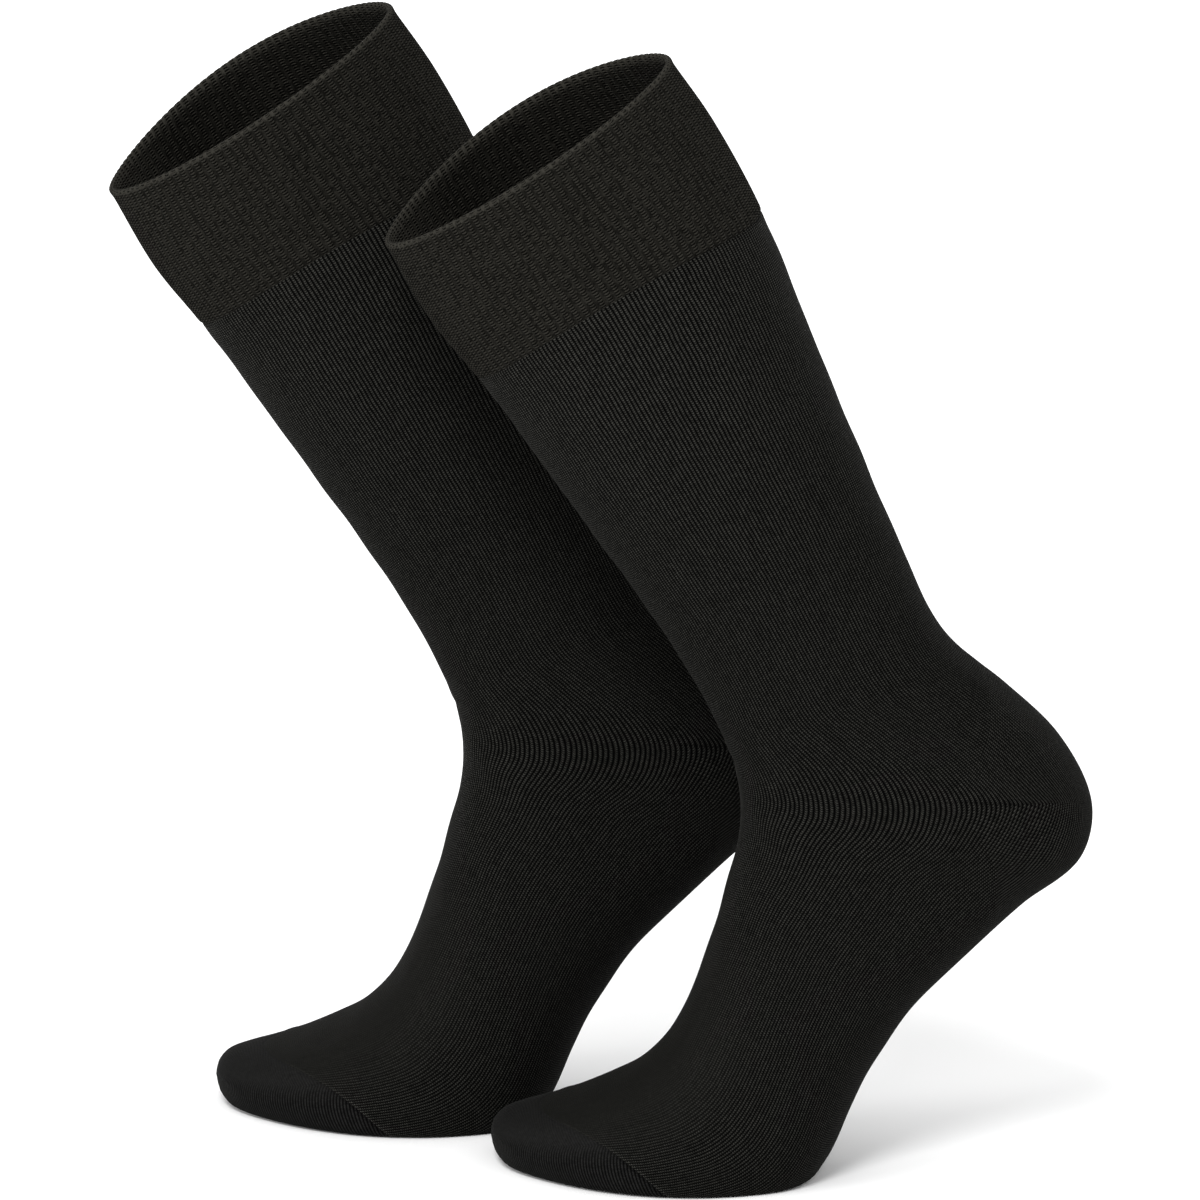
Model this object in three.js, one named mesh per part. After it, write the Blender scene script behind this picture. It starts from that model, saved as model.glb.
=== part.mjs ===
import * as THREE from "three";

// A pair of calf-length socks in fine knit, filled out on a foot that stands on its ball.
// Millimetres, +Z up. X runs from the toes back to the heel, Y from the near sock to the far one.
// A sock is worked out standing on z = 0 with its toe tip at x = 0. Its group then carries it
// so that the middle of the near sock's mouth is the origin.

const wallThickness = 1.2;
const seamGap = 0.3;

const farSockShift = { x: -93, y: 90 };

// Cuff: ribs run down the leg, and the mouth's edge is rounded off.
const ribCount = 108;
const ribHeight = 0.45;
const mouthEdgeRounding = 0.45;
const mouthRiseFarSide = 6.3;
const cuffLineRiseAtSides = 7;

const soleEdgeBlend = 2.5;

function evenRows(count) {
  return Array.from({ length: count + 1 }, (_, i) => i / count);
}

// Steps round the tube, and the rows along each zone as shares of its length.
const roundSteps = 36;
const cuffInnerSteps = 36;
const cuffRows = [0, 0.025, 0.5, 1];
const legRows = [0, 0.16, 0.32, 0.46, 0.6, 0.71, 0.8, 0.87, 0.93, 1];
const heelRows = evenRows(9);
const footRows = evenRows(14);
const toeRows = evenRows(9);

// Zone borders, each the index of a section below, whole or between two of them.
const cuffLineSection = 2;
const heelLineSection = 9.84;
const heelTopSection = 7.6;
const heelBottomSection = 12.7;
const toeLineTopSection = 21.4;
const toeLineSoleSection = 19.65;
const toeLineSweep = 4.5;
const heelCornerColumn = 10;
const heelCornerHeight = 0.8;
const heelPocketFullness = 0.8;

// Sections from the mouth to the toe tip. front and back are where the section meets the sock's
// middle plane (on the foot: instep and sole). width is its breadth, middleY the middle of that.
// square fills out its corners, and egg widens its back or sole side and narrows the other.
// Sole points below the floor are pressed flat on it.
const sections = [
  { frontX: -34.3, frontZ: 316.3, backX: 59.9, backZ: 377.6, middleY: 0, width: 101, square: -0.02, egg: 0 },
  { frontX: -20.0, frontZ: 291.4, backX: 75.0, backZ: 355.5, middleY: 0, width: 100, square: 0.02, egg: 0 },
  { frontX: -4.0, frontZ: 271.3, backX: 90.5, backZ: 326.2, middleY: 0, width: 97, square: 0.04, egg: 0 },
  { frontX: 25.5, frontZ: 230.1, backX: 110.6, backZ: 276.4, middleY: 0, width: 86, square: 0.05, egg: 0 },
  { frontX: 54.6, frontZ: 189.2, backX: 130.6, backZ: 228.2, middleY: 0, width: 73, square: 0.06, egg: 0 },
  { frontX: 64.8, frontZ: 173.0, backX: 139.2, backZ: 208.1, middleY: 0, width: 68, square: 0.08, egg: 0 },
  { frontX: 72.3, frontZ: 160.0, backX: 146.6, backZ: 191.5, middleY: 0, width: 67, square: 0.1, egg: 0 },
  { frontX: 76.8, frontZ: 150.0, backX: 155.6, backZ: 178.8, middleY: 0, width: 67, square: 0.12, egg: -0.02 },
  { frontX: 79.4, frontZ: 144.5, backX: 172.8, backZ: 165.0, middleY: 0, width: 68, square: 0.15, egg: -0.06 },
  { frontX: 80.9, frontZ: 140.8, backX: 190.5, backZ: 147.5, middleY: 0, width: 69, square: 0.18, egg: -0.1 },
  { frontX: 81.9, frontZ: 137.0, backX: 200.8, backZ: 126.0, middleY: 0, width: 69, square: 0.2, egg: -0.12 },
  { frontX: 82.8, frontZ: 132.5, backX: 197.2, backZ: 107.5, middleY: 0, width: 68, square: 0.2, egg: -0.1 },
  { frontX: 83.6, frontZ: 125.5, backX: 178.6, backZ: 92.6, middleY: 0, width: 68, square: 0.18, egg: -0.06 },
  { frontX: 83.3, frontZ: 115.5, backX: 161.6, backZ: 76.8, middleY: 0, width: 68, square: 0.14, egg: -0.02 },
  { frontX: 79.8, frontZ: 101.0, backX: 143.0, backZ: 58.6, middleY: 0, width: 70, square: 0.12, egg: 0 },
  { frontX: 75.0, frontZ: 84.0, backX: 130.6, backZ: 41.7, middleY: 0, width: 73, square: 0.12, egg: 0.02 },
  { frontX: 68.6, frontZ: 64.8, backX: 120.9, backZ: 23.5, middleY: 0, width: 79, square: 0.13, egg: 0.03 },
  { frontX: 60.5, frontZ: 47.4, backX: 112.8, backZ: 5.5, middleY: 0, width: 85, square: 0.14, egg: 0.02 },
  { frontX: 50.5, frontZ: 36.2, backX: 101.5, backZ: -6.0, middleY: 0, width: 90, square: 0.18, egg: 0 },
  { frontX: 40.0, frontZ: 29.5, backX: 81.0, backZ: -7.0, middleY: 0.5, width: 94, square: 0.26, egg: 0.06 },
  { frontX: 30.5, frontZ: 24.9, backX: 58.0, backZ: -7.0, middleY: 2.5, width: 91, square: 0.28, egg: 0.08 },
  { frontX: 20.5, frontZ: 20.9, backX: 36.0, backZ: -6.0, middleY: 7, width: 80, square: 0.26, egg: 0.07 },
  { frontX: 11.0, frontZ: 18.2, backX: 18.0, backZ: -4.0, middleY: 12, width: 62, square: 0.22, egg: 0.05 },
  { frontX: 4.5, frontZ: 15.8, backX: 6.6, backZ: -1.0, middleY: 15.5, width: 43, square: 0.18, egg: 0.02 },
  { frontX: 1.2, frontZ: 12.6, backX: 1.8, backZ: 3.0, middleY: 17.5, width: 24, square: 0.1, egg: 0 },
  { frontX: 0.0, frontZ: 9.0, backX: 0.1, backZ: 7.5, middleY: 18, width: 2, square: 0.0, egg: 0 },
];

const lastSection = sections.length - 1;
const columns = Object.keys(sections[0]);

// How far along the sock each section lies: the mean of its front's and its back's advance.
const stations = [0];
for (let i = 1; i < sections.length; i += 1) {
  const before = sections[i - 1];
  const here = sections[i];
  const frontStep = Math.hypot(here.frontX - before.frontX, here.frontZ - before.frontZ);
  const backStep = Math.hypot(here.backX - before.backX, here.backZ - before.backZ);
  stations.push(stations[i - 1] + (frontStep + backStep) / 2);
}

function stationOfSection(index) {
  const low = Math.min(Math.floor(index), lastSection - 1);
  return THREE.MathUtils.lerp(stations[low], stations[low + 1], index - low);
}

// A section's rate of change in one column: the slope between its two neighbours.
function slopeAt(index, column) {
  const before = Math.max(index - 1, 0);
  const after = Math.min(index + 1, lastSection);
  return (sections[after][column] - sections[before][column]) / (stations[after] - stations[before]);
}

// The section at any station, on cubic curves through the table. Above the mouth it runs on straight.
function sectionAt(station) {
  if (station < 0) {
    const mouth = {};
    columns.forEach((column) => { mouth[column] = sections[0][column] + slopeAt(0, column) * station; });
    return mouth;
  }
  let low = 0;
  while (low < lastSection - 1 && station > stations[low + 1]) low += 1;
  const length = stations[low + 1] - stations[low];
  const t = (station - stations[low]) / length;
  const section = {};
  columns.forEach((column) => {
    const start = sections[low][column];
    const end = sections[low + 1][column];
    const startSlope = slopeAt(low, column) * length;
    const endSlope = slopeAt(low + 1, column) * length;
    section[column] = (2 * t ** 3 - 3 * t ** 2 + 1) * start + (t ** 3 - 2 * t ** 2 + t) * startSlope
      + (3 * t ** 2 - 2 * t ** 3) * end + (t ** 3 - t ** 2) * endSlope;
  });
  return section;
}

// The floor's push: flat where the height is below -soleEdgeBlend, then a parabola up to the free form.
function pressed(height) {
  if (height < -soleEdgeBlend) return 0;
  if (height > soleEdgeBlend) return height;
  return (height + soleEdgeBlend) ** 2 / (4 * soleEdgeBlend);
}

// A point of the sock's outside. turn runs round it: 0 front, 0.25 near side, 0.5 back, 0.75 far side.
function skin(station, turn) {
  const { frontX, frontZ, backX, backZ, middleY, width, square, egg } = sectionAt(station);
  const cosine = Math.cos(2 * Math.PI * turn);
  const sine = Math.sin(2 * Math.PI * turn);
  const along = -cosine * (1 + square * sine ** 2);
  const across = -sine * (1 + square * cosine ** 2);
  return new THREE.Vector3(
    (frontX + backX) / 2 + along * (backX - frontX) / 2,
    middleY + across * (width / 2) * (1 + egg * along),
    pressed((frontZ + backZ) / 2 + along * (backZ - frontZ) / 2),
  );
}

// Small steps along the sock and round it, over which slopes are taken.
const lengthProbe = 0.01;
const turnProbe = 0.0002;

// The skin's outward normal: the cross product of its slopes along the sock and round it.
function outward(station, turn) {
  const alongSock = skin(station + lengthProbe, turn).sub(skin(station - lengthProbe, turn));
  const roundSock = skin(station, turn + turnProbe).sub(skin(station, turn - turnProbe));
  return alongSock.cross(roundSock).normalize();
}

// A point of the cloth, depth below its outside.
function clothPoint(station, turn, depth) {
  return skin(station, turn).addScaledVector(outward(station, turn), -depth);
}

// A closed mesh gathered from strips between rows of points.
class ClothMesh {
  constructor() {
    this.positions = [];
    this.triangles = [];
  }

  // One row of points, each with its place from 0 to 1 along the row.
  row(points, places) {
    return points.map((point, i) => {
      this.positions.push(point.x, point.y, point.z);
      return { index: this.positions.length / 3 - 1, place: places[i] };
    });
  }

  // Triangles between two rows, which may have different numbers of points. A turned strip
  // has the same edges and faces the other way, so walls side by side are split alike.
  strip(first, second, turned = false) {
    const add = (a, b, c) => this.triangles.push(...(turned ? [c, b, a] : [a, b, c]));
    let i = 0;
    let j = 0;
    while (i < first.length - 1 || j < second.length - 1) {
      const nextFirst = i < first.length - 1 ? first[i + 1].place : Infinity;
      const nextSecond = j < second.length - 1 ? second[j + 1].place : Infinity;
      if (nextFirst <= nextSecond) {
        add(first[i].index, first[i + 1].index, second[j].index);
        i += 1;
      } else {
        add(first[i].index, second[j + 1].index, second[j].index);
        j += 1;
      }
    }
  }

  geometry() {
    const geometry = new THREE.BufferGeometry();
    geometry.setAttribute("position", new THREE.Float32BufferAttribute(this.positions, 3));
    geometry.setIndex(this.triangles);
    geometry.computeVertexNormals();
    return geometry;
  }
}

// One face of a zone, from its upper border to its lower one, as rows of points.
function faceRows(mesh, zone, steps, depthAt) {
  const { firstTurn = 0, lastTurn = 1, rows, from, to } = zone;
  const wholeRound = lastTurn - firstTurn === 1;
  const places = Array.from({ length: steps + 1 }, (_, j) => j / steps);
  return rows.map((share) => {
    const points = places.map((place, j) => {
      const turn = firstTurn + place * (lastTurn - firstTurn);
      const station = THREE.MathUtils.lerp(from(turn), to(turn), share);
      return clothPoint(station, turn, depthAt(share, j));
    });
    if (!wholeRound) return mesh.row(points, places);
    const row = mesh.row(points.slice(0, steps), places);
    return [...row, { index: row[0].index, place: 1 }];
  });
}

// The wall of one zone: an outer and an inner face, joined round every free edge.
// A zone that ends in the toe tip is closed there instead.
function zoneWall(zone) {
  const { outerSteps, innerSteps = outerSteps, relief = () => 0, closedAtTip = false } = zone;
  const partRound = zone.firstTurn !== undefined;
  const mesh = new ClothMesh();
  const outer = faceRows(mesh, zone, outerSteps, (share, j) => -relief(share, j));
  const inner = faceRows(mesh, zone, innerSteps, () => wallThickness);
  for (let i = 0; i < outer.length - 1; i += 1) {
    mesh.strip(outer[i + 1], outer[i]);
    mesh.strip(inner[i + 1], inner[i], true);
  }
  mesh.strip(outer[0], inner[0]);
  if (closedAtTip) {
    const tip = skin(zone.to(0), 0).lerp(skin(zone.to(0.5), 0.5), 0.5);
    const tipInside = tip.clone().setX(tip.x + wallThickness);
    mesh.strip(mesh.row([tip], [0]), outer[outer.length - 1]);
    mesh.strip(mesh.row([tipInside], [0]), inner[inner.length - 1], true);
  } else {
    mesh.strip(outer[outer.length - 1], inner[inner.length - 1], true);
  }
  if (partRound) {
    const edgeOf = (face, end) => face.map((row, i) => ({
      index: row[end === "first" ? 0 : row.length - 1].index,
      place: zone.rows[i],
    }));
    mesh.strip(edgeOf(outer, "first"), edgeOf(inner, "first"), true);
    mesh.strip(edgeOf(outer, "last"), edgeOf(inner, "last"));
  }
  return mesh.geometry();
}

// Zone borders as stations round the sock.

const heelCorner = heelCornerColumn / roundSteps;
const roundingError = 1e-9;

// The least sine of the angle between a seam and the way along the sock, for the step at the heel's corners.
const leastCrossing = 0.6;

function mouthBorder(turn) {
  const farness = Math.max(0, -Math.sin(2 * Math.PI * turn));
  return -mouthRiseFarSide * farness ** 2;
}

function cuffBorder(turn) {
  return stationOfSection(cuffLineSection) - cuffLineRiseAtSides * Math.sin(2 * Math.PI * turn) ** 2;
}

// The heel pocket's borders fan out from a corner on each side of the ankle, highest at the back.
function heelBorder(turn, backSection) {
  const line = stationOfSection(heelLineSection);
  const reach = stationOfSection(backSection) - line;
  const share = (turn - heelCorner) / (1 - 2 * heelCorner);
  if (share < -roundingError || share > 1 + roundingError) return line;
  const swell = Math.sin(Math.PI * THREE.MathUtils.clamp(share, 0, 1)) ** heelPocketFullness;
  return line + Math.sign(reach) * Math.max(Math.abs(reach) * swell, heelCornerHeight);
}

function heelTopBorder(turn) {
  return heelBorder(turn, heelTopSection);
}

function heelBottomBorder(turn) {
  return heelBorder(turn, heelBottomSection);
}

// The toe pocket's border comes forward over the toes, and sweeps back fast to the sides and the sole.
function toeBorder(turn) {
  const topness = (1 + Math.cos(2 * Math.PI * turn)) / 2;
  const top = stationOfSection(toeLineTopSection);
  const bottom = stationOfSection(toeLineSoleSection);
  return THREE.MathUtils.lerp(bottom, top, topness ** toeLineSweep);
}

// The change of station that carries a point of a border off it by a distance square to the border's line.
function stationStep(border, turn, distance) {
  const station = border(turn);
  const alongSock = skin(station + lengthProbe, turn).sub(skin(station - lengthProbe, turn));
  const alongSeam = skin(border(turn + turnProbe), turn + turnProbe)
    .sub(skin(border(turn - turnProbe), turn - turnProbe));
  const crossing = Math.max(Math.sin(alongSock.angleTo(alongSeam)), leastCrossing);
  return distance * 2 * lengthProbe / (alongSock.length() * crossing);
}

// A border moved half a seam gap up (-1) or down (+1) the sock.
function besideSeam(border, direction) {
  return (turn) => border(turn) + direction * stationStep(border, turn, seamGap / 2);
}

function cuffRelief(share, j) {
  if (share === 0) return -mouthEdgeRounding;
  return j % 2 === 0 ? ribHeight : 0;
}

const ribbedKnit = new THREE.MeshStandardMaterial({ color: 0x1f1f1d, roughness: 0.95, metalness: 0 });
const plainKnit = new THREE.MeshStandardMaterial({ color: 0x1d1d1c, roughness: 0.9, metalness: 0 });
const pocketKnit = new THREE.MeshStandardMaterial({ color: 0x202020, roughness: 0.9, metalness: 0 });

const zones = {
  cuff: {
    material: ribbedKnit,
    from: mouthBorder,
    to: besideSeam(cuffBorder, -1),
    rows: cuffRows,
    outerSteps: 2 * ribCount,
    innerSteps: cuffInnerSteps,
    relief: cuffRelief,
  },
  leg: {
    material: plainKnit,
    from: besideSeam(cuffBorder, 1),
    to: besideSeam(heelTopBorder, -1),
    rows: legRows,
    outerSteps: roundSteps,
  },
  heel: {
    material: pocketKnit,
    from: besideSeam(heelTopBorder, 1),
    to: besideSeam(heelBottomBorder, -1),
    rows: heelRows,
    outerSteps: roundSteps - 2 * heelCornerColumn,
    firstTurn: heelCorner,
    lastTurn: 1 - heelCorner,
  },
  foot: {
    material: plainKnit,
    from: besideSeam(heelBottomBorder, 1),
    to: besideSeam(toeBorder, -1),
    rows: footRows,
    outerSteps: roundSteps,
  },
  toe: {
    material: pocketKnit,
    from: besideSeam(toeBorder, 1),
    to: () => stations[lastSection],
    rows: toeRows,
    outerSteps: roundSteps,
    closedAtTip: true,
  },
};

function sock(side) {
  const group = new THREE.Group();
  Object.entries(zones).forEach(([zoneName, zone]) => {
    const mesh = new THREE.Mesh(zoneWall(zone), zone.material);
    mesh.name = `${side}_${zoneName}`;
    group.add(mesh);
  });
  return group;
}

const mouthMiddle = skin(0, 0).lerp(skin(0, 0.5), 0.5);

const nearSock = sock("near");
nearSock.position.copy(mouthMiddle).negate();

const farSock = sock("far");
farSock.position.copy(nearSock.position).add(new THREE.Vector3(farSockShift.x, farSockShift.y, 0));

const pair = new THREE.Group();
pair.add(nearSock, farSock);

export default pair;
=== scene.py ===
import math

import bmesh
import bpy
import numpy as np
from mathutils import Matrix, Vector


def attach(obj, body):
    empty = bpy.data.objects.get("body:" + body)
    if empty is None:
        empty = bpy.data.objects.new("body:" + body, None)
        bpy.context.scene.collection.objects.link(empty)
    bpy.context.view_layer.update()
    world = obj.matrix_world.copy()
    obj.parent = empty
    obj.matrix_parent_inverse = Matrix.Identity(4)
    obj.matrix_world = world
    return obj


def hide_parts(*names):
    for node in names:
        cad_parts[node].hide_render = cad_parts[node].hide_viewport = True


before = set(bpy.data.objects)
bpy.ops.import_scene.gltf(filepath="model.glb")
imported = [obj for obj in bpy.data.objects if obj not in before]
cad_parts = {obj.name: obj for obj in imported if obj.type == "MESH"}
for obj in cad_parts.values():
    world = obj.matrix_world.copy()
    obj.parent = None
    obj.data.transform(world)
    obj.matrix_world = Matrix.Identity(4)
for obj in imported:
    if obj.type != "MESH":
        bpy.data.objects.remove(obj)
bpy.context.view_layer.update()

# Two calf-length dress socks in fine black knit, filled out on a foot that stands on its ball.
# Shapes are worked out in millimetres, standing on z = 0 with the toe tip at x = 0, and are
# carried into the frame's metres at the very end. A turn is a share of the way round the sock.

print("frame loaded with", len(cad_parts), "nodes")


studio = {
    "aim": (0.02387, 0, -0.15236),   # what the picture's middle shows
    "elevation": 12,                 # degrees above the horizon
    "distance": 11.1111,             # with this lens, 400 mm of width at the near sock
    "lens": 1000,
    "sensor": 36,
    "clipEnd": 60,
    "floorHeight": -0.3471,
    "floorHalf": 5.0,
    "floorColor": (0.95, 0.95, 0.95, 1),
    "floorRoughness": 0.9,
    "skyStrength": 1.08,
    # A sun a row: strength, angle and the way it comes from. One in front and above, one low at the left
    "suns": {"key": (1.8, 16, (-0.2, -1.05, 0.95)), "side": (1.25, 25, (-1.0, -0.8, 0.35))},
}


# Camera: its distance back from the aim, at the elevation, and looking at the aim
def setCamera(plan):
    lift = math.radians(plan["elevation"])
    back = Vector((0, -math.cos(lift), math.sin(lift)))
    data = bpy.data.cameras.new("camera")
    data.lens, data.sensor_width = plan["lens"], plan["sensor"]
    data.clip_end = plan["clipEnd"]
    camera = bpy.data.objects.new("camera", data)
    camera.location = Vector(plan["aim"]) + back * plan["distance"]
    camera.rotation_euler = (-back).to_track_quat("-Z", "Y").to_euler()
    bpy.context.collection.objects.link(camera)
    bpy.context.scene.camera = camera


# Light: an even white room, and suns that each shine from the way given
def setLight(plan):
    world = bpy.data.worlds.new("white room")
    world.use_nodes = True
    sky = world.node_tree.nodes["Background"]
    sky.inputs["Color"].default_value = (1, 1, 1, 1)
    sky.inputs["Strength"].default_value = plan["skyStrength"]
    bpy.context.scene.world = world
    for name, (strength, angle, comesFrom) in plan["suns"].items():
        data = bpy.data.lights.new(name, "SUN")
        data.energy, data.angle = strength, math.radians(angle)
        sun = bpy.data.objects.new(name, data)
        sun.rotation_euler = Vector(comesFrom).to_track_quat("Z", "Y").to_euler()
        bpy.context.collection.objects.link(sun)
    bpy.context.scene.view_settings.view_transform = "Standard"


setCamera(studio)
setLight(studio)
print("camera and light set")


form = {
    # A section a row, from the mouth to the toe tip: x and z at its front, x and z at its back,
    # the y of its middle, its width, how square it is, and how much its back outgrows its front
    "sections": np.array([
        [-34.3, 316.3, 59.9, 377.6, 0, 101, -0.02, 0],
        [-20.0, 291.4, 75.0, 355.5, 0, 100, 0.02, 0],
        [-4.0, 271.3, 90.5, 326.2, 0, 97, 0.04, 0],
        [25.5, 230.1, 110.6, 276.4, 0, 86, 0.05, 0],
        [54.6, 189.2, 130.6, 228.2, 0, 73, 0.06, 0],
        [64.8, 173.0, 139.2, 208.1, 0, 68, 0.08, 0],
        [72.3, 160.0, 146.6, 191.5, 0, 67, 0.1, 0],
        [76.8, 150.0, 155.6, 178.8, 0, 67, 0.12, -0.02],
        [79.4, 144.5, 172.8, 165.0, 0, 68, 0.15, -0.06],
        [80.9, 140.8, 190.5, 147.5, 0, 69, 0.18, -0.1],
        [81.9, 137.0, 200.8, 126.0, 0, 69, 0.2, -0.12],
        [82.8, 132.5, 197.2, 107.5, 0, 68, 0.2, -0.1],
        [83.6, 125.5, 178.6, 92.6, 0, 68, 0.18, -0.06],
        [83.3, 115.5, 161.6, 76.8, 0, 68, 0.14, -0.02],
        [79.8, 101.0, 143.0, 58.6, 0, 70, 0.12, 0],
        [75.0, 84.0, 130.6, 41.7, 0, 73, 0.12, 0.02],
        [68.6, 64.8, 120.9, 23.5, 0, 79, 0.13, 0.03],
        [60.5, 47.4, 112.8, 5.5, 0, 85, 0.14, 0.02],
        [50.5, 36.2, 101.5, -6.0, 0, 90, 0.18, 0],
        [40.0, 29.5, 81.0, -7.0, 0.5, 94, 0.26, 0.06],
        [30.5, 24.9, 58.0, -7.0, 2.5, 91, 0.28, 0.08],
        [20.5, 20.9, 36.0, -6.0, 7, 80, 0.26, 0.07],
        [11.0, 18.2, 18.0, -4.0, 12, 62, 0.22, 0.05],
        [4.5, 15.8, 6.6, -1.0, 15.5, 43, 0.18, 0.02],
        [1.2, 12.6, 1.8, 3.0, 17.5, 24, 0.1, 0],
        [0.0, 9.0, 0.1, 7.5, 18, 2, 0, 0],
    ]),
    "soleBlend": 2.5,             # height over which the sole turns onto the floor
    "soleHeights": (1.0, 4.0),    # heights between which relief comes in
    "origin": (12.8, 0, 346.95),  # the middle of the near mouth, which is the frame's origin
    "shifts": {"near": (0, 0, 0), "far": (-93, 90, 0)},
    # The zones' borders, where a line lies at a section given by a whole or broken index
    "mouthRise": 6.3,             # the mouth's far side stands this much higher
    "cuffLine": 2, "cuffLineRise": 7,
    "heelCorner": 10 / 36, "heelLine": 9.84, "heelTop": 7.6, "heelBottom": 12.7, "heelFullness": 0.8,
    "toeLineTop": 21.4, "toeLineSole": 19.65, "toeLineSweep": 4.5,
    "wall": 1.2,
    # Steps in mm and turns over which the skin's slopes are taken, and the grid that lengths are read from
    "probeAlong": 0.01, "probeRound": 0.0002,
    "gridAbove": 10, "gridRows": 420, "gridColumns": 361,
}

sections = form["sections"]
frontSteps = np.hypot(*np.diff(sections[:, 0:2], axis=0).T)
backSteps = np.hypot(*np.diff(sections[:, 2:4], axis=0).T)
stations = np.concatenate([[0], np.cumsum((frontSteps + backSteps) / 2)])


# Station of a section given by a whole or broken index: straight between its two neighbours
def stationOf(index):
    return np.interp(index, np.arange(len(stations)), stations)


# Section at any station: a cubic through the table whose slopes come from the two neighbours,
# and a straight line above the mouth
def sectionAt(station):
    last = len(stations) - 1
    before = np.maximum(np.arange(last + 1) - 1, 0)
    after = np.minimum(np.arange(last + 1) + 1, last)
    slopes = (sections[after] - sections[before]) / (stations[after] - stations[before])[:, None]
    low = np.clip(np.searchsorted(stations, station, side="right") - 1, 0, last - 1)
    length = (stations[low + 1] - stations[low])[..., None]
    t = (station - stations[low])[..., None] / length
    curve = ((2 * t**3 - 3 * t**2 + 1) * sections[low] + (t**3 - 2 * t**2 + t) * slopes[low] * length
             + (3 * t**2 - 2 * t**3) * sections[low + 1] + (t**3 - t**2) * slopes[low + 1] * length)
    above = sections[0] + slopes[0] * station[..., None]
    return np.where((station < 0)[..., None], above, curve)


# Height after the floor's push: 0 below -blend, a parabola up to blend, unchanged above
def pressed(height, blend):
    return np.where(height < -blend, 0, np.where(height > blend, height, (height + blend)**2 / (4 * blend)))


# The sock's outside. turn goes round: 0 front, 1/4 near side, 1/2 back, 3/4 far side. With c and s the
# cosine and sine of the turn, along = -c(1 + square s^2) and across = -s(1 + square c^2); x and z go
# from front to back with along, and y is the middle plus half the width times across (1 + egg along)
def skin(station, turn):
    station, turn = np.broadcast_arrays(np.asarray(station, float), np.asarray(turn, float))
    frontX, frontZ, backX, backZ, middleY, width, square, egg = np.moveaxis(sectionAt(station), -1, 0)
    c, s = np.cos(2 * np.pi * turn), np.sin(2 * np.pi * turn)
    along = -c * (1 + square * s**2)
    across = -s * (1 + square * c**2)
    x = (frontX + backX) / 2 + along * (backX - frontX) / 2
    y = middleY + across * width / 2 * (1 + egg * along)
    z = pressed((frontZ + backZ) / 2 + along * (backZ - frontZ) / 2, form["soleBlend"])
    return np.stack([x, y, z], -1)


# The outward direction: the slope along the sock crossed with the slope round it
def outward(station, turn):
    stepAlong, stepRound = form["probeAlong"], form["probeRound"]
    alongSock = skin(station + stepAlong, turn) - skin(station - stepAlong, turn)
    roundSock = skin(station, turn + stepRound) - skin(station, turn - stepRound)
    normal = np.cross(alongSock, roundSock)
    return normal / np.linalg.norm(normal, axis=-1, keepdims=True)


# Lengths on the skin, measured once on a fine grid: the share of the way round, and the way from the mouth
gridStations = np.linspace(-form["gridAbove"], stations[-1], form["gridRows"])
gridTurns = np.linspace(0, 1, form["gridColumns"])
gridPoints = skin(gridStations[:, None], gridTurns[None, :])
roundSteps = np.linalg.norm(np.diff(gridPoints, axis=1), axis=-1)
roundShare = np.pad(np.cumsum(roundSteps, axis=1), ((0, 0), (1, 0)))
roundShare /= roundShare[:, -1:]
alongSteps = np.linalg.norm(np.diff(gridPoints, axis=0), axis=-1)
alongLength = np.pad(np.cumsum(alongSteps, axis=0), ((1, 0), (0, 0)))


# A grid's value at any station and turn, straight between its points
def readGrid(grid, station, turn):
    first, step = gridStations[0], gridStations[1] - gridStations[0]
    i = (np.clip(station, first, gridStations[-1]) - first) / step
    j = np.clip(turn, 0, 1) * (len(gridTurns) - 1)
    i0 = np.minimum(i.astype(int), len(gridStations) - 2)
    j0 = np.minimum(j.astype(int), len(gridTurns) - 2)
    u, v = i - i0, j - j0
    return ((grid[i0, j0] * (1 - u) + grid[i0 + 1, j0] * u) * (1 - v)
            + (grid[i0, j0 + 1] * (1 - u) + grid[i0 + 1, j0 + 1] * u) * v)


# Borders of the knitted zones, each a station for every turn

# Mouth: higher on the far side, by the square of the turn's sine
def mouthBorder(turn):
    return -form["mouthRise"] * np.maximum(0, -np.sin(2 * np.pi * turn))**2


# Cuff's line: higher at both sides, by the square of the turn's sine
def cuffBorder(turn):
    return stationOf(form["cuffLine"]) - form["cuffLineRise"] * np.sin(2 * np.pi * turn)**2


# How far round the pocket a turn lies: 0 at either corner, 1 at the back
def pocketShare(turn):
    return np.clip(1 - np.abs(turn - 0.5) / (0.5 - form["heelCorner"]), 0, 1)


# Heel pocket: from the line between its corners out to a section at the back, by a power of a sine
def heelBorder(turn, backSection):
    line = stationOf(form["heelLine"])
    swell = np.sin(np.pi / 2 * pocketShare(turn))**form["heelFullness"]
    return line + (stationOf(backSection) - line) * swell


# The pocket's upper border, towards the leg
def heelTopBorder(turn):
    return heelBorder(turn, form["heelTop"])


# The pocket's lower border, towards the foot
def heelBottomBorder(turn):
    return heelBorder(turn, form["heelBottom"])


# Toe line: from its section on the sole to its section on top, by a power of how near the top a turn is
def toeBorder(turn):
    topness = (1 + np.cos(2 * np.pi * turn)) / 2
    top, bottom = stationOf(form["toeLineTop"]), stationOf(form["toeLineSole"])
    return bottom + (top - bottom) * topness**form["toeLineSweep"]


# Toe tip: the last station all round
def tipBorder(turn):
    return np.full_like(turn, stations[-1])


print("form measured:", round(float(stations[-1])), "mm from mouth to toe tip")


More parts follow.
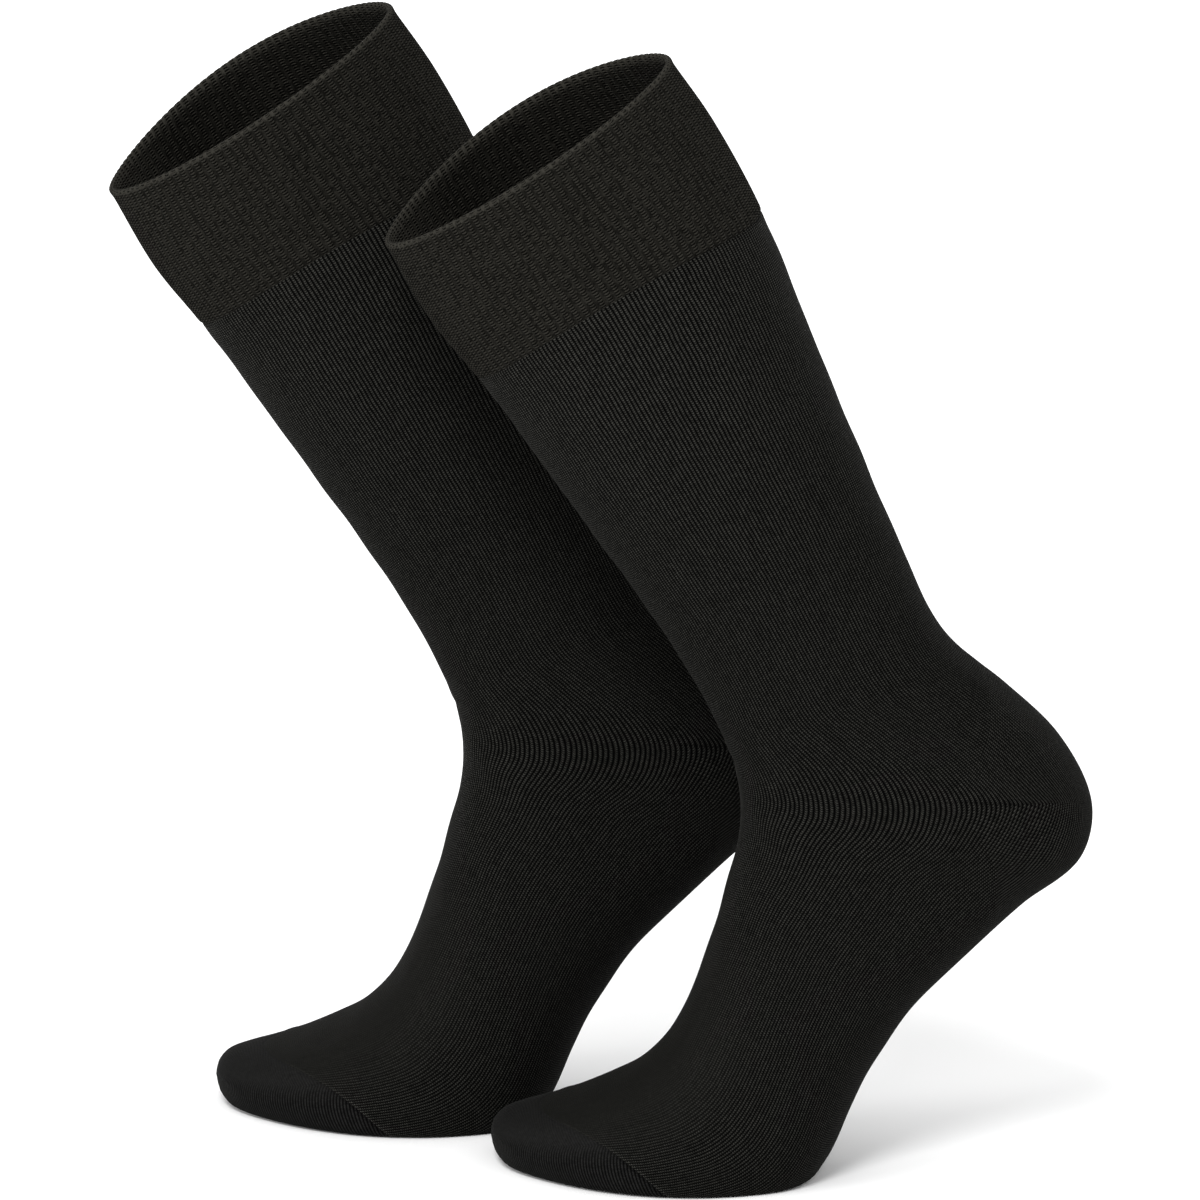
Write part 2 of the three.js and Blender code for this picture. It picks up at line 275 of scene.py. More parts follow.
knit = {
    "needles": 216,          # wales round the sock; two of them make a rib of the cuff
    "course": 0.72,          # mm from one row of stitches to the next
    "waleWidth": 1.1,        # mm from one wale to the next at the heel
    "heelKink": 10.0,        # mm by which wales swerve to the back where they cross the heel's line
    "heelKinkReach": 17.0,   # mm along the sock over which that fades
    "heelKinkTurns": (0.38, 0.15),   # turns from the back where it starts and where it is full
    "heelSharpness": 0.5, "heelBluntness": 16.0,   # mm that round its peak inside the pocket, and in front
    "heelBluntTurns": (0.15, 0.26),
    "heelCourseTurn": 8.0,   # mm by which courses swing there
}


# Ease from 0 at low to 1 at high, 3t^2 - 2t^3, and the other way where high is the smaller
def smooth(low, high, value):
    t = np.clip((value - low) / (high - low), 0, 1)
    return t * t * (3 - 2 * t)


# Turns from the front of the sock, whichever way round is shorter
def awayFromFront(turn):
    return np.minimum(turn, 1 - turn)


# Relief's share over the sole: none where the skin lies on the floor, all of it above the sole's edge
def offSole(station, turn):
    return smooth(*form["soleHeights"], skin(station, turn)[..., 2])


# Signed way along the sock from the heel's line
def pastHeelLine(station, turn):
    line = np.full_like(station, stationOf(form["heelLine"]))
    return readGrid(alongLength, station, turn) - readGrid(alongLength, line, turn)


# Wale number: the share of the way round times the needles, less the swerve. That grows slowly from the
# side of the ankle into the heel pocket and is gone at the back. Away from the heel's line it fades by an
# exponential, whose peak is blunt in front of the pocket and sharp inside it
def waleAt(station, turn):
    fromBack = np.abs(turn - 0.5)
    start, full = knit["heelKinkTurns"]
    swell = smooth(start, full, fromBack) * smooth(0, full, fromBack) * np.sign(0.5 - turn)
    blunt = knit["heelSharpness"] + knit["heelBluntness"] * smooth(*knit["heelBluntTurns"], fromBack)
    away = np.hypot(pastHeelLine(station, turn), blunt) - blunt
    swerve = knit["heelKink"] * swell * np.exp(-away / knit["heelKinkReach"])
    return knit["needles"] * readGrid(roundShare, station, turn) - swerve / knit["waleWidth"]


# Millimetres by which the courses swing in the heel pocket, one way above its line and the other below:
# half of one less the cosine round the pocket, fading by an exponential
def courseSwing(station, turn):
    past = pastHeelLine(station, turn)
    return (-np.sign(past) * knit["heelCourseTurn"] * (1 - np.cos(np.pi * pocketShare(turn))) / 2
            * np.exp(-np.abs(past) / knit["heelKinkReach"]))


shell = {
    "mergeReach": 2e-7,      # metres within which points are one
    "packedReach": 2.2,      # mm over which rows are packed
    "rowSamples": 2000,
}


# A closed shell of cloth. station, turn and height hold a grid: its rows run down the outside of a piece
# and back up its inside, its columns run round it, and a point is skin + outward * height. The last row
# joins the first, and the last column the first where the piece goes all round. courses are the lengths
# down each column over the height of a course, from startRow. Points that coincide are merged
def clothShell(name, station, turn, height, wales, startRow=0, swing=0, marks={}, creases=(), pins={}):
    points = skin(station, turn) + outward(station, turn) * height[..., None]
    for row, point in pins.items():
        points[row] = point
    rows, columns = points.shape[:2]
    steps = np.linalg.norm(np.diff(np.concatenate([points, points[:1]]), axis=0), axis=-1)
    courses = np.pad(np.cumsum(steps, axis=0), ((1, 0), (0, 0)))
    swing = np.broadcast_to(swing, (rows, columns))
    courses = (courses - courses[startRow] + np.concatenate([swing, swing[:1]])) / knit["course"]
    wales = np.broadcast_to(wales, (rows, columns))
    wales = np.concatenate([wales, wales[:1]])

    kept = columns - 1 if turn.flat[-1] - turn.flat[0] == 1 else columns
    numbers = np.arange(rows * kept).reshape(rows, kept)
    i, j = np.meshgrid(np.arange(rows), np.arange(columns - 1), indexing="ij")
    corners = [(i, j), (i + 1, j), (i + 1, j + 1), (i, j + 1)]
    faces = np.stack([numbers[a % rows, b % kept] for a, b in corners], -1)
    knitMap = np.stack([np.stack([wales[a, b], courses[a, b]], -1) for a, b in corners], 2)

    placed = (points[:, :kept] - form["origin"]) / 1000
    mesh = bpy.data.meshes.new(name)
    mesh.vertices.add(numbers.size)
    mesh.vertices.foreach_set("co", placed.astype(np.float32).ravel())
    mesh.loops.add(faces.size)
    mesh.loops.foreach_set("vertex_index", faces.astype(np.int32).ravel())
    mesh.polygons.add(faces.size // 4)
    mesh.polygons.foreach_set("loop_start", np.arange(0, faces.size, 4, dtype=np.int32))
    mesh.update(calc_edges=True)
    mesh.uv_layers.new(name="knit").uv.foreach_set("vector", knitMap.astype(np.float32).ravel())
    for mark, values in marks.items():
        values = np.broadcast_to(values, (rows, columns))[:, :kept].astype(np.float32)
        mesh.attributes.new(mark, "FLOAT", "POINT").data.foreach_set("value", values.ravel())
    edges = np.zeros(len(mesh.edges) * 2, np.int32)
    mesh.edges.foreach_get("vertices", edges)
    rowOfEnds = edges.reshape(-1, 2) // kept
    sharp = (rowOfEnds[:, 0] == rowOfEnds[:, 1]) & np.isin(rowOfEnds[:, 0], creases)
    mesh.attributes.new("sharp_edge", "BOOLEAN", "EDGE").data.foreach_set("value", sharp)
    whole = bmesh.new()
    whole.from_mesh(mesh)
    bmesh.ops.remove_doubles(whole, verts=whole.verts, dist=shell["mergeReach"])
    whole.to_mesh(mesh)
    whole.free()
    return mesh


# Shares from 0 to 1 about a step apart over a length. Rows are denser round the given places, where a
# bell curve adds packing to their density
def rowShares(plan, places):
    fine = np.linspace(0, 1, shell["rowSamples"])
    bells = sum(np.exp(-((fine - place) * plan["length"] / shell["packedReach"])**2) for place in places)
    density = 1 + plan["packing"] * bells
    count = (np.pad(np.cumsum((density[1:] + density[:-1]) / 2), (1, 0))
             * (fine[1] * plan["length"] / plan["rowStep"]))
    return np.interp(np.linspace(0, count[-1], round(count[-1]) + 1), count, fine)


# A wall between two borders: stations, turns, which rows are outside, and the way from either border
def wallGrid(fromBorder, toBorder, turns, outerShares, innerRows):
    shares = np.concatenate([outerShares, np.linspace(1, 0, innerRows)])
    outside = (np.arange(len(shares)) < len(outerShares))[:, None]
    start, end = fromBorder(turns), toBorder(turns)
    station = start + (end - start) * shares[:, None]
    turn = np.broadcast_to(turns, station.shape)
    way = readGrid(alongLength, station, turn)
    pastStart = way - readGrid(alongLength, start, turns)
    beforeEnd = readGrid(alongLength, end, turns) - way
    return station, turn, outside, pastStart, beforeEnd


# The rows at a wall's four edges, which stay sharp
def edgeRows(shares, station):
    return 0, len(shares) - 1, len(shares), len(station) - 1


# Heights in mm of the crossed and the slanted waves, and their lengths along the sock
waves = {"crossed": 0.16, "crossedLengths": (57, 41), "slanted": 0.1, "slantedLength": 33}


# The cloth's slight unevenness: two waves that cross, multiplied, plus a slanted one. They go 3, 2 and 5
# times round the sock
def unevenness(station, turn):
    first, second = waves["crossedLengths"]
    return (waves["crossed"] * np.sin(2 * np.pi * (3 * turn + station / first))
            * np.sin(2 * np.pi * (station / second - 2 * turn))
            + waves["slanted"] * np.sin(2 * np.pi * (5 * turn - station / waves["slantedLength"])))


# Turns from the front, and sections, over which the brushed nap comes in
nap = {"leg": 0.9, "legTurns": (0.06, 0.02), "legSections": (2, 3),
       "footTurns": (0.25, 0.11), "footSections": (14, 18)}


# How brushed the cloth is: most along the front of the leg and over the top of the foot
def brushing(station, turn):
    fromFront = awayFromFront(turn)
    onLeg = (nap["leg"] * smooth(*nap["legTurns"], fromFront)
             * smooth(*stationOf(nap["legSections"]), station))
    onFoot = smooth(*nap["footTurns"], fromFront) * smooth(*stationOf(nap["footSections"]), station)
    return np.maximum(onLeg, onFoot)


cuff = {
    "ribRise": 0.5, "ribSunk": 0.2,   # mm over and under the skin
    "insideRibRise": 0.4,
    "ribSharpness": 1.2,
    "ribEnd": 1.6,                    # mm over which ribs run out at the line
    "stepsPerRib": 10,
    "length": 56, "rowStep": 1.9, "packing": 2, "innerRows": 22, "rimRows": 8,
    "rimSwell": 0.3, "rimReach": 1.6,
    # painted highlight on the rim, and how far it reaches from the mouth
    "rimPaintedHighlight": 1.9, "rimHighlightReach": 0.7,
    "lineDepth": 0.12, "lineReach": 0.9, "lineShadow": (0.3, 1.1),
    "lineShade": 0.25, "lineShadeTurns": (0.28, 0.42),   # its shade in front, and where it grows to full
    # mm past the mouth over which the painted shade inside comes in
    "liningReach": (0.2, 5),
    "frontInsideLight": -3.5, "frontInsideLightTurns": (0.02, 0.16),   # painted light on the inside in front, as if lit from the mouth
}


# A rib's rise across its width, from a power of a sine: round on top, narrow between two ribs
def ribShape(phase):
    return np.abs(np.sin(np.pi * phase))**cuff["ribSharpness"]


# How dark the painted shade in the cuff's line is: it shows most towards the back of the sock
def lineShade(turn):
    least = cuff["lineShade"]
    return least + (1 - least) * smooth(*cuff["lineShadeTurns"], awayFromFront(turn))


# Cuff: outside rows from the mouth to the line, inside rows back up, and a half round over the rim whose
# radius is half the cloth's thickness there, so that it is scalloped by the ribs
def makeCuff(plan):
    ribs = knit["needles"] // 2
    wales = np.linspace(0, knit["needles"], ribs * plan["stepsPerRib"] + 1)
    middle = np.argmin(np.abs(gridStations - stationOf(1)))
    turns = np.interp(wales / knit["needles"], roundShare[middle], gridTurns)
    shares = rowShares(plan, [0, 1])
    station, turn, outside, pastMouth, beforeLine = wallGrid(
        mouthBorder, cuffBorder, turns, shares, plan["innerRows"])
    fade = smooth(0, plan["ribEnd"], beforeLine)
    rimSwell = plan["rimSwell"] * np.exp(-(pastMouth / plan["rimReach"])**2)
    outer = (-plan["ribSunk"] + rimSwell + (plan["ribRise"] * ribShape(wales / 2)) * fade
             - plan["lineDepth"] * (1 - smooth(0, plan["lineReach"], beforeLine)))
    inner = -form["wall"] - plan["insideRibRise"] * ribShape(wales / 2 + 0.5) * fade
    height = np.where(outside, outer, inner)
    arc = np.linspace(0, np.pi, plan["rimRows"] + 2)[1:-1, None]
    radius = (height[0] - height[-1]) / 2
    rimHeight = (height[0] + height[-1]) / 2 - radius * np.cos(arc)
    rimStation = station[0] - radius * np.sin(arc)
    onRim = np.ones((plan["rimRows"], len(turns)))
    turn = np.broadcast_to(turns, (len(station) + plan["rimRows"], len(turns)))
    # Painted shade on the inside past the mouth, and painted light on the inside in front
    lit = plan["frontInsideLight"]
    insideShading = smooth(*plan["liningReach"], pastMouth) * (
        lit + (1 - lit) * smooth(*plan["frontInsideLightTurns"], awayFromFront(turns)))
    shadow = (1 - smooth(*plan["lineShadow"], beforeLine)) * lineShade(turns)
    # Painted highlight along the rim and all over its round
    glint = plan["rimPaintedHighlight"] * np.exp(-(pastMouth / plan["rimHighlightReach"])**2)
    # Marks: painted shade inside with painted light in front, painted shadow along the line, painted
    # highlight on the rim
    marks = {
        "insideShading": np.concatenate([np.where(outside, 0, insideShading), 0 * onRim]),
        "shadow": np.concatenate([np.where(outside, shadow, 0), 0 * onRim]),
        "glint": np.concatenate([glint, plan["rimPaintedHighlight"] * onRim]),
        "brushed": np.zeros_like(turn),
    }
    return clothShell("cuff", np.concatenate([station, rimStation]), turn,
                      np.concatenate([height, rimHeight]), wales, marks=marks,
                      creases=(len(shares) - 1, len(shares)))


leg = {
    "columns": 288, "length": 215, "rowStep": 1.9, "packing": 3, "innerRows": 60,
    "lineDepth": 0.16, "lineReach": 0.9, "lineShadow": (0.1, 0.9), "lineDarkness": 0.8,
    "ease": 6,                                       # mm over which the unevenness comes in
    "calfPaleness": 0.3, "calfSections": (2, 7),     # painted light, most below the cuff
    "shinPaintedHighlight": 0.5, "shinHalfWidth": 0.035,     # a narrow painted highlight down the front
}


# Painted light on the leg: most at the cuff's line, none at the ankle, with a narrow bell of painted
# highlight round the front besides
def paintedLegLight(station, turn):
    start, end = stationOf(leg["calfSections"])
    down = np.clip((station - start) / (end - start), 0, 1)
    shin = np.exp(-(awayFromFront(turn) / leg["shinHalfWidth"])**2)
    return leg["calfPaleness"] * (1 - down) + leg["shinPaintedHighlight"] * shin * (1 - down**3)


# Leg: from the cuff's line, where it is drawn in, to the ankle and the heel pocket
def makeLeg(plan):
    turns = np.linspace(0, 1, plan["columns"] + 1)
    shares = rowShares(plan, [0])
    station, turn, outside, pastLine, beforeEnd = wallGrid(
        cuffBorder, heelTopBorder, turns, shares, plan["innerRows"])
    ease = smooth(0, plan["ease"], beforeEnd)
    outer = (unevenness(station, turn) * ease * smooth(0, plan["ease"], pastLine)
             - plan["lineDepth"] * (1 - smooth(0, plan["lineReach"], pastLine)))
    line = plan["lineDarkness"] * (1 - smooth(*plan["lineShadow"], pastLine)) * lineShade(turn)
    # Marks: painted shade inside, painted shadow along the line, painted light below the cuff and down the
    # shin
    marks = {
        "insideShading": np.where(outside, 0, 1),
        "shadow": np.where(outside, line, 0),
        "glint": np.where(outside, paintedLegLight(station, turn), 0),
        "brushed": np.where(outside, brushing(station, turn), 0),
    }
    return clothShell("leg", station, turn, np.where(outside, outer, -form["wall"]),
                      waleAt(station, turn), marks=marks, creases=edgeRows(shares, station))


heel = {
    "columns": 128, "length": 112, "rowStep": 1.6, "packing": 5, "innerRows": 40,
    "lineDepth": 0.15, "lineHalfWidth": 0.7, "lineDarkness": 0.75,
    "lineStart": (0, 0.06), "lineEnd": (0.46, 0.22),   # shares of the pocket where the line comes and goes
}


# Heel pocket: a lens between the two corners of the ankle, with a groove along its line
def makeHeel(plan):
    corner = form["heelCorner"]
    turns = np.linspace(corner, 1 - corner, plan["columns"] + 1)
    line, top, bottom = stationOf([form["heelLine"], form["heelTop"], form["heelBottom"]])
    shares = rowShares(plan, [(line - top) / (bottom - top)])
    station, turn, outside, _, _ = wallGrid(
        heelTopBorder, heelBottomBorder, turns, shares, plan["innerRows"])
    past = pastHeelLine(station, turn)
    strength = smooth(*plan["lineStart"], pocketShare(turn)) * smooth(*plan["lineEnd"], pocketShare(turn))
    groove = strength * np.exp(-(past / plan["lineHalfWidth"])**2)
    # Marks: painted shade inside, painted shadow along the groove
    marks = {
        "insideShading": np.where(outside, 0, 1),
        "shadow": np.where(outside, plan["lineDarkness"] * groove, 0),
        "glint": np.zeros_like(station),
        "brushed": np.zeros_like(station),
    }
    return clothShell("heel", station, turn, np.where(outside, -plan["lineDepth"] * groove, -form["wall"]),
                      waleAt(station, turn), swing=courseSwing(station, turn), marks=marks,
                      creases=edgeRows(shares, station))


foot = {
    "columns": 288, "length": 165, "rowStep": 1.9, "packing": 5, "innerRows": 46,
    "ridgeRise": 0.22, "ridgeHalfWidth": 0.5, "ridgeBack": 0.8, "ridgeTurns": (0.05, 0.14),
    "ease": 6,
    # The ridge's painted highlight: how much, and the turns from the top over which it comes in
    "glints": ((0.3, (0.06, 0.12)), (0.4, (0.15, 0.26))),
}


# Foot: from the ankle and the heel pocket to the toe line, with a ridge of stitches just before that,
# which is a bell curve across
def makeFoot(plan):
    turns = np.linspace(0, 1, plan["columns"] + 1)
    shares = rowShares(plan, [1])
    station, turn, outside, pastStart, beforeToe = wallGrid(
        heelBottomBorder, toeBorder, turns, shares, plan["innerRows"])
    ridge = np.exp(-((beforeToe - plan["ridgeBack"]) / plan["ridgeHalfWidth"])**2)
    fromTop = awayFromFront(turn)
    aboveSole = offSole(station, turn)
    ease = smooth(0, plan["ease"], pastStart) * smooth(0, plan["ease"], beforeToe)
    outer = (unevenness(station, turn) * ease * aboveSole
             + plan["ridgeRise"] * ridge * aboveSole * smooth(*plan["ridgeTurns"], fromTop))
    # Painted highlight along the ridge
    glint = ridge * sum(much * smooth(*turnsIn, fromTop) for much, turnsIn in plan["glints"])
    # Marks: painted shade inside, painted highlight along the ridge
    marks = {
        "insideShading": np.where(outside, 0, 1),
        "shadow": np.zeros_like(station),
        "glint": np.where(outside, glint, 0),
        "brushed": np.where(outside, brushing(station, turn), 0),
    }
    return clothShell("foot", station, turn, np.where(outside, outer, -form["wall"]),
                      waleAt(station, turn), startRow=len(shares) - 1, marks=marks,
                      creases=edgeRows(shares, station))


toe = {
    "columns": 288, "length": 34, "rowStep": 1.2, "packing": 3, "innerRows": 24,
    "grooveDepth": 0.2, "grooveBack": 0.8, "grooveHalfWidth": 0.7, "grooveTurns": (0.16, 0.27),
    "brushedTurns": (0.24, 0.15),
    "rowBend": 16, "rowBendTurns": (0.38, 0.18),   # mm by which rows bend back, from the sole to the side
}


# Toe pocket: from the toe line, where a bell-shaped groove runs, to the tip, closed outside and inside.
# Its rows stand upright on the sole and bend back by a parabola to the toe line
def makeToe(plan):
    turns = np.linspace(0, 1, plan["columns"] + 1)
    shares = rowShares(plan, [0])
    station, turn, outside, pastLine, _ = wallGrid(toeBorder, tipBorder, turns, shares, plan["innerRows"])
    groove = np.exp(-((pastLine - plan["grooveBack"]) / plan["grooveHalfWidth"])**2)
    fromTop = awayFromFront(turn)
    tip = (skin(stations[-1], 0) + skin(stations[-1], 0.5)) / 2
    bendStart, bendFull = plan["rowBendTurns"]
    bend = np.clip((bendStart - awayFromFront(turns)) / (bendStart - bendFull), 0, 1)**2
    # Marks: painted shade inside, painted shadow along the groove
    marks = {
        "insideShading": np.where(outside, 0, 1),
        "shadow": np.where(outside, groove * smooth(*plan["grooveTurns"], fromTop), 0),
        "glint": np.zeros_like(station),
        "brushed": np.where(outside, smooth(*plan["brushedTurns"], fromTop), 0),
    }
    outer = -plan["grooveDepth"] * groove * offSole(station, turn)
    return clothShell("toe", station, turn, np.where(outside, outer, -form["wall"]),
                      waleAt(station, turn), swing=toeBorder(turns) + plan["rowBend"] * bend, marks=marks,
                      creases=(0, len(station) - 1),
                      pins={len(shares) - 1: tip, len(shares): tip + [form["wall"], 0, 0]})


# A socket of a material's nodes, so that shader maths reads as an expression
class Wire:
    def __init__(self, tree, socket):
        self.tree, self.socket = tree, socket

    # Any node, from its type, its settings and the values or wires of its sockets
    def node(self, kind, settings={}, sockets={}):
        made = self.tree.nodes.new(kind)
        for name, value in settings.items():
            setattr(made, name, value)
        for name, value in sockets.items():
            if isinstance(value, Wire):
                self.tree.links.new(value.socket, made.inputs[name])
            else:
                made.inputs[name].default_value = value
        return made

    # One output of such a node
    def out(self, kind, settings={}, sockets={}, output=0):
        return Wire(self.tree, self.node(kind, settings, sockets).outputs[output])

    def math(self, operation, *values, clamp=False):
        settings = {"operation": operation, "use_clamp": clamp}
        return self.out("ShaderNodeMath", settings, dict(enumerate(values)))

    def __add__(self, other): return self.math("ADD", self, other)
    def __radd__(self, other): return self.math("ADD", other, self)
    def __sub__(self, other): return self.math("SUBTRACT", self, other)
    def __rsub__(self, other): return self.math("SUBTRACT", other, self)
    def __mul__(self, other): return self.math("MULTIPLY", self, other)
    def __rmul__(self, other): return self.math("MULTIPLY", other, self)
    def __pow__(self, other): return self.math("POWER", self, other)
    def __abs__(self): return self.math("ABSOLUTE", self)
    def fract(self): return self.math("FRACT", self)
    def floor(self): return self.math("FLOOR", self)
    def sine(self): return self.math("SINE", self)
    def clamped(self): return self.math("MULTIPLY", self, 1, clamp=True)


# What all the knits share. Light is a number from 0, the painted shade between stitches, to 1, the lit yarn
stitches = {
    "gap": (0.0003, 0.0003, 0.0003, 1),                # colour of the painted shade between stitches
    "swayScale": 90.0, "courseSway": 0.5,
    "fuzzScale": 900.0, "mottleScale": 260.0, "fuzzRoughness": 0.7,
    "streakScale": 0.7, "streakLength": 0.03, "streakRoughness": 0.6,
    "rowSharpness": 1.6, "rowFloor": 0.15, "stitchSharpness": 1.7,
    "ladderHalfWidth": 0.62, "ladderEdge": 8, "rungLight": 1.6,
    "betweenLadders": 0.22, "betweenFuzz": 0.9,
    "legLight": 0.95, "legMiddle": 0.2,
    "brushCover": 0.75, "brushEvenness": 0.7, "napFloor": 0.4, "napFuzz": 1.2,
    "shadowMiddle": 0.3, "shadowEdge": 0.5, "liningShade": 0.35, "paintedLightGain": 1.4, "lightGain": 0.57,
    "bumpStrength": 0.8, "bumpFuzz": 0.3,
    "roughness": 0.85, "specular": 0.01,
    "sheen": 0.035, "sheenRoughness": 0.15, "sheenTint": (0.9, 0.9, 0.87, 1),
}

# One knit each. cells: shades across a wale. nap: how light brushed cloth is. rungs: rows of stitches to a
# course. legSlope: how far a row falls from a wale's middle to its edge. sway: how far wales wander.
# stitchDepth: relief in metres. split: how far a wale shows its two legs
plainKnit = {
    "yarn": (0.0562, 0.0557, 0.0496, 1),
    "ribs": False, "cells": 2, "nap": 0.15, "rungs": 0.93, "legSlope": 0.6, "sway": 0.5,
    "stitchDepth": 0.00025,
    "split": 0.12, "waleContrast": 1, "mottle": 0.1, "scatter": 0.75, "streak": 0.2,
}
finishes = {
    "ribbed": {
        "yarn": (0.0270, 0.0256, 0.0214, 1),
        "ribs": True, "cells": 4, "nap": 0.25, "rungs": 0.74, "legSlope": 0.2, "sway": 0.25,
        "stitchDepth": 0.0003,
        "mottle": 0.1, "scatter": 0.9, "streak": 0.12,
    },
    "plain": plainKnit,
    # The heel's yarn is the plain yarn made lighter: painted light on the heel
    "heel": {**plainKnit, "yarn": (0.0605, 0.0600, 0.0536, 1)},
    "toe": {
        "yarn": (0.0205, 0.0203, 0.0196, 1),
        "ribs": False, "cells": 2, "nap": 0.53, "rungs": 0.6, "legSlope": 0.1, "sway": 0.5,
        "stitchDepth": 0.00025,
        "split": 0.3, "waleContrast": 0.12, "mottle": 0.1, "scatter": 0.6, "streak": 0.1,
    },
}


# Light of a rib's stitches: a ladder of rungs in its middle, which follow the rows, and between two
# ladders flatter cloth that only its fuzz makes uneven
def ribLight(row, across, fuzz):
    ladder = ((stitches["ladderHalfWidth"] - across) * stitches["ladderEdge"]).clamped()
    between = stitches["betweenLadders"] + stitches["betweenFuzz"] * fuzz
    return ladder * stitches["rungLight"] * row + (1 - ladder) * between


# Light of a plain wale's stitches: a cosine lobe that is dark at its edges, and as far as it is split two
# legs, a sine of the way from its middle to its edge, both multiplied by the rows
def waleLight(row, across, plan):
    lobe = 0.5 + 0.5 * ((0.5 - across) * math.pi).sine()
    legs = (across * math.pi).sine() * stitches["legLight"] + stitches["legMiddle"] * (1 - across)
    wales = lobe * (1 - plan["split"]) + legs * plan["split"]
    floor = stitches["rowFloor"]
    return (wales * plan["waleContrast"] + (1 - plan["waleContrast"])) * (floor + (1 - floor) * row)


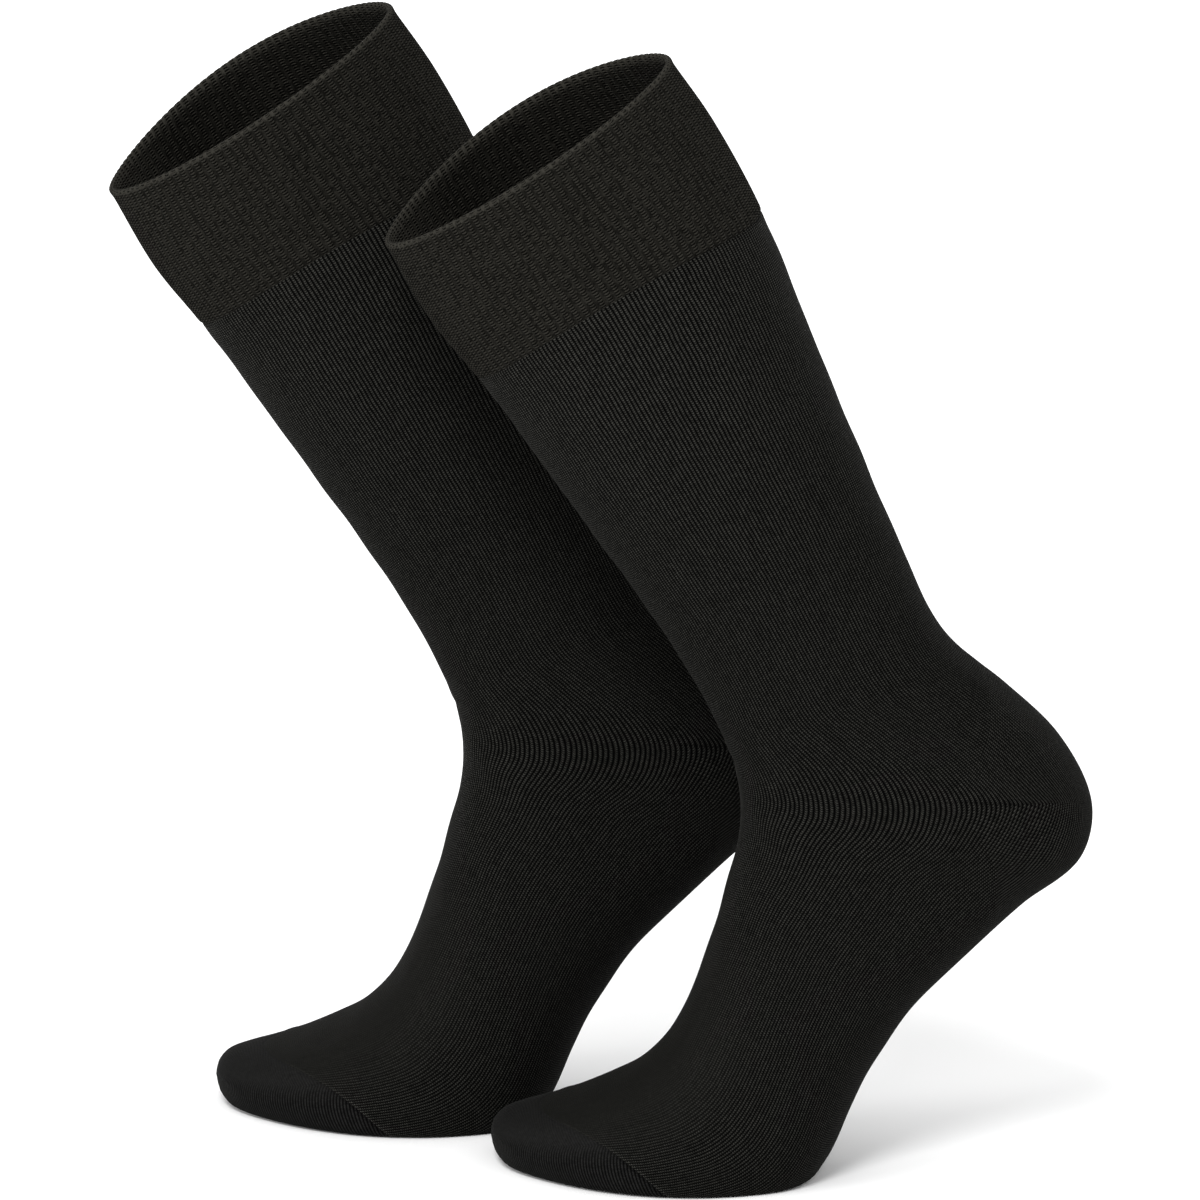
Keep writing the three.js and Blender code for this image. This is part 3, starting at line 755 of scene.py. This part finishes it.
# Knit finish from the piece's own wale and course numbers. Rows are a power of the sine of the course,
# stitches a power of a rib's or a wale's light, and each stitch and each wale is lighter or darker than
# the next. Brushed cloth swaps the stitches for its nap. The piece's marks paint light and shade into the
# result: painted shadow, painted shade inside, painted light and painted highlights. The result mixes
# the painted shade between stitches with the yarn's colour
def knitFinish(name, plan):
    material = bpy.data.materials.new(name)
    material.use_nodes = True
    material.node_tree.nodes.clear()
    base = Wire(material.node_tree, None)
    place = base.out("ShaderNodeTexCoord", output=3)
    shadow, glint, insideShading, brushed = (
        base.out("ShaderNodeAttribute", {"attribute_name": mark}, output=2)
        for mark in ("shadow", "glint", "insideShading", "brushed"))
    sway = base.out("ShaderNodeTexNoise", {},
                    {"Vector": place, "Scale": stitches["swayScale"], "Detail": 1.0}) - 0.5
    fuzz = base.out("ShaderNodeTexNoise", {},
                    {"Vector": place, "Scale": stitches["fuzzScale"], "Detail": 2.0,
                     "Roughness": stitches["fuzzRoughness"]})
    mottle = base.out("ShaderNodeTexNoise", {},
                      {"Vector": place, "Scale": stitches["mottleScale"], "Detail": 5.0,
                       "Roughness": stitches["fuzzRoughness"]}) - 0.5

    knitMap = base.node("ShaderNodeSeparateXYZ", {},
                        {"Vector": base.out("ShaderNodeUVMap", {"uv_map": "knit"})})
    wale = Wire(base.tree, knitMap.outputs[0]) + sway * plan["sway"]
    course = (Wire(base.tree, knitMap.outputs[1]) + sway * stitches["courseSway"]) * plan["rungs"]
    if plan["ribs"]:
        wale = wale * 0.5
    across = abs(wale.fract() - 0.5) * 2
    slanted = course + across * plan["legSlope"]
    row = abs((slanted * math.pi).sine())**stitches["rowSharpness"]
    stitch = ribLight(row, across, fuzz) if plan["ribs"] else waleLight(row, across, plan)
    stitch = stitch**stitches["stitchSharpness"]

    stitchNumber = base.out("ShaderNodeCombineXYZ", {},
                            {"X": (wale * plan["cells"]).floor(), "Y": slanted.floor()})
    scatter = base.out("ShaderNodeTexWhiteNoise", {"noise_dimensions": "2D"},
                       {"Vector": stitchNumber}) - 0.5
    waleWay = base.out("ShaderNodeCombineXYZ", {}, {"X": wale, "Y": course * stitches["streakLength"]})
    streak = base.out("ShaderNodeTexNoise", {"noise_dimensions": "2D"},
                      {"Vector": waleWay, "Scale": stitches["streakScale"], "Detail": 2.0,
                       "Roughness": stitches["streakRoughness"]}) - 0.5

    napLight = (stitches["napFloor"] + stitches["napFuzz"] * fuzz) * plan["nap"]
    surface = stitch * (1 - stitches["brushCover"] * brushed) + napLight * brushed
    ownShade = ((1 + plan["scatter"] * scatter * (1 - stitches["brushEvenness"] * brushed))
                * (1 + 2 * plan["streak"] * streak) * (1 + 2 * plan["mottle"] * mottle))
    # Painted shadow along lines and grooves, painted shade inside with painted light inside the front, and
    # painted light and highlights
    markShade = ((1 - shadow * (stitches["shadowMiddle"] + stitches["shadowEdge"] * across))
                 * (1 - stitches["liningShade"] * insideShading) * (1 + stitches["paintedLightGain"] * glint))
    light = (surface * ownShade * markShade * stitches["lightGain"]).clamped()
    color = base.out("ShaderNodeMix", {"data_type": "RGBA"},
                     {0: light, 6: stitches["gap"], 7: plan["yarn"]}, 2)
    bump = base.out("ShaderNodeBump", {}, {
        "Strength": stitches["bumpStrength"], "Distance": plan["stitchDepth"],
        "Height": surface + fuzz * stitches["bumpFuzz"]})
    shader = base.out("ShaderNodeBsdfPrincipled", {}, {
        "Base Color": color, "Roughness": stitches["roughness"],
        "Specular IOR Level": stitches["specular"], "Sheen Weight": stitches["sheen"],
        "Sheen Roughness": stitches["sheenRoughness"], "Sheen Tint": stitches["sheenTint"],
        "Normal": bump})
    base.node("ShaderNodeOutputMaterial", {}, {"Surface": shader})
    return material


materials = {name: knitFinish(name + " knit", plan) for name, plan in finishes.items()}
print("finishes made")


# Each zone: how it is made, its finish, its slot, and the relaxed cut of the part that is stretched over
# the form, as width round and length in metres
pieces = {
    "cuff": (makeCuff, cuff, "ribbed", "ribbed_knit", (0.280, 0.055)),
    "leg": (makeLeg, leg, "plain", "plain_knit", (0.210, 0.200)),
    "heel": (makeHeel, heel, "heel", "pocket_knit", (0.110, 0.062)),
    "foot": (makeFoot, foot, "plain", "plain_knit", (0.205, 0.165)),
    "toe": (makeToe, toe, "toe", "pocket_knit", (0.120, 0.058)),
}

for zone, (make, plan, finish, slot, cut) in pieces.items():
    mesh = make(plan)
    mesh.materials.append(materials[finish])
    for side, shift in form["shifts"].items():
        placed = mesh.copy()
        points = np.empty(len(placed.vertices) * 3, np.float32)
        placed.vertices.foreach_get("co", points)
        points = points.reshape(-1, 3) + np.array(shift) / 1000
        placed.vertices.foreach_set("co", points.astype(np.float32).ravel())
        placed.update()
        piece = bpy.data.objects.new(f"{side}_{zone}_cloth", placed)
        bpy.context.collection.objects.link(piece)
        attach(piece, "root")
        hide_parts(f"{side}_{zone}")
    print(zone, "made, with", len(mesh.polygons), "faces")


# Floor: one square of pale paper under the socks
half, height = studio["floorHalf"], studio["floorHeight"]
floorMesh = bpy.data.meshes.new("floor")
floorMesh.from_pydata([(-half, -half, height), (half, -half, height), (half, half, height),
                       (-half, half, height)], [], [(0, 1, 2, 3)])
paper = bpy.data.materials.new("white paper")
paper.use_nodes = True
paperShader = paper.node_tree.nodes["Principled BSDF"]
paperShader.inputs["Base Color"].default_value = studio["floorColor"]
paperShader.inputs["Roughness"].default_value = studio["floorRoughness"]
floorMesh.materials.append(paper)
floor = bpy.data.objects.new("floor", floorMesh)
bpy.context.collection.objects.link(floor)

print("socks dressed")
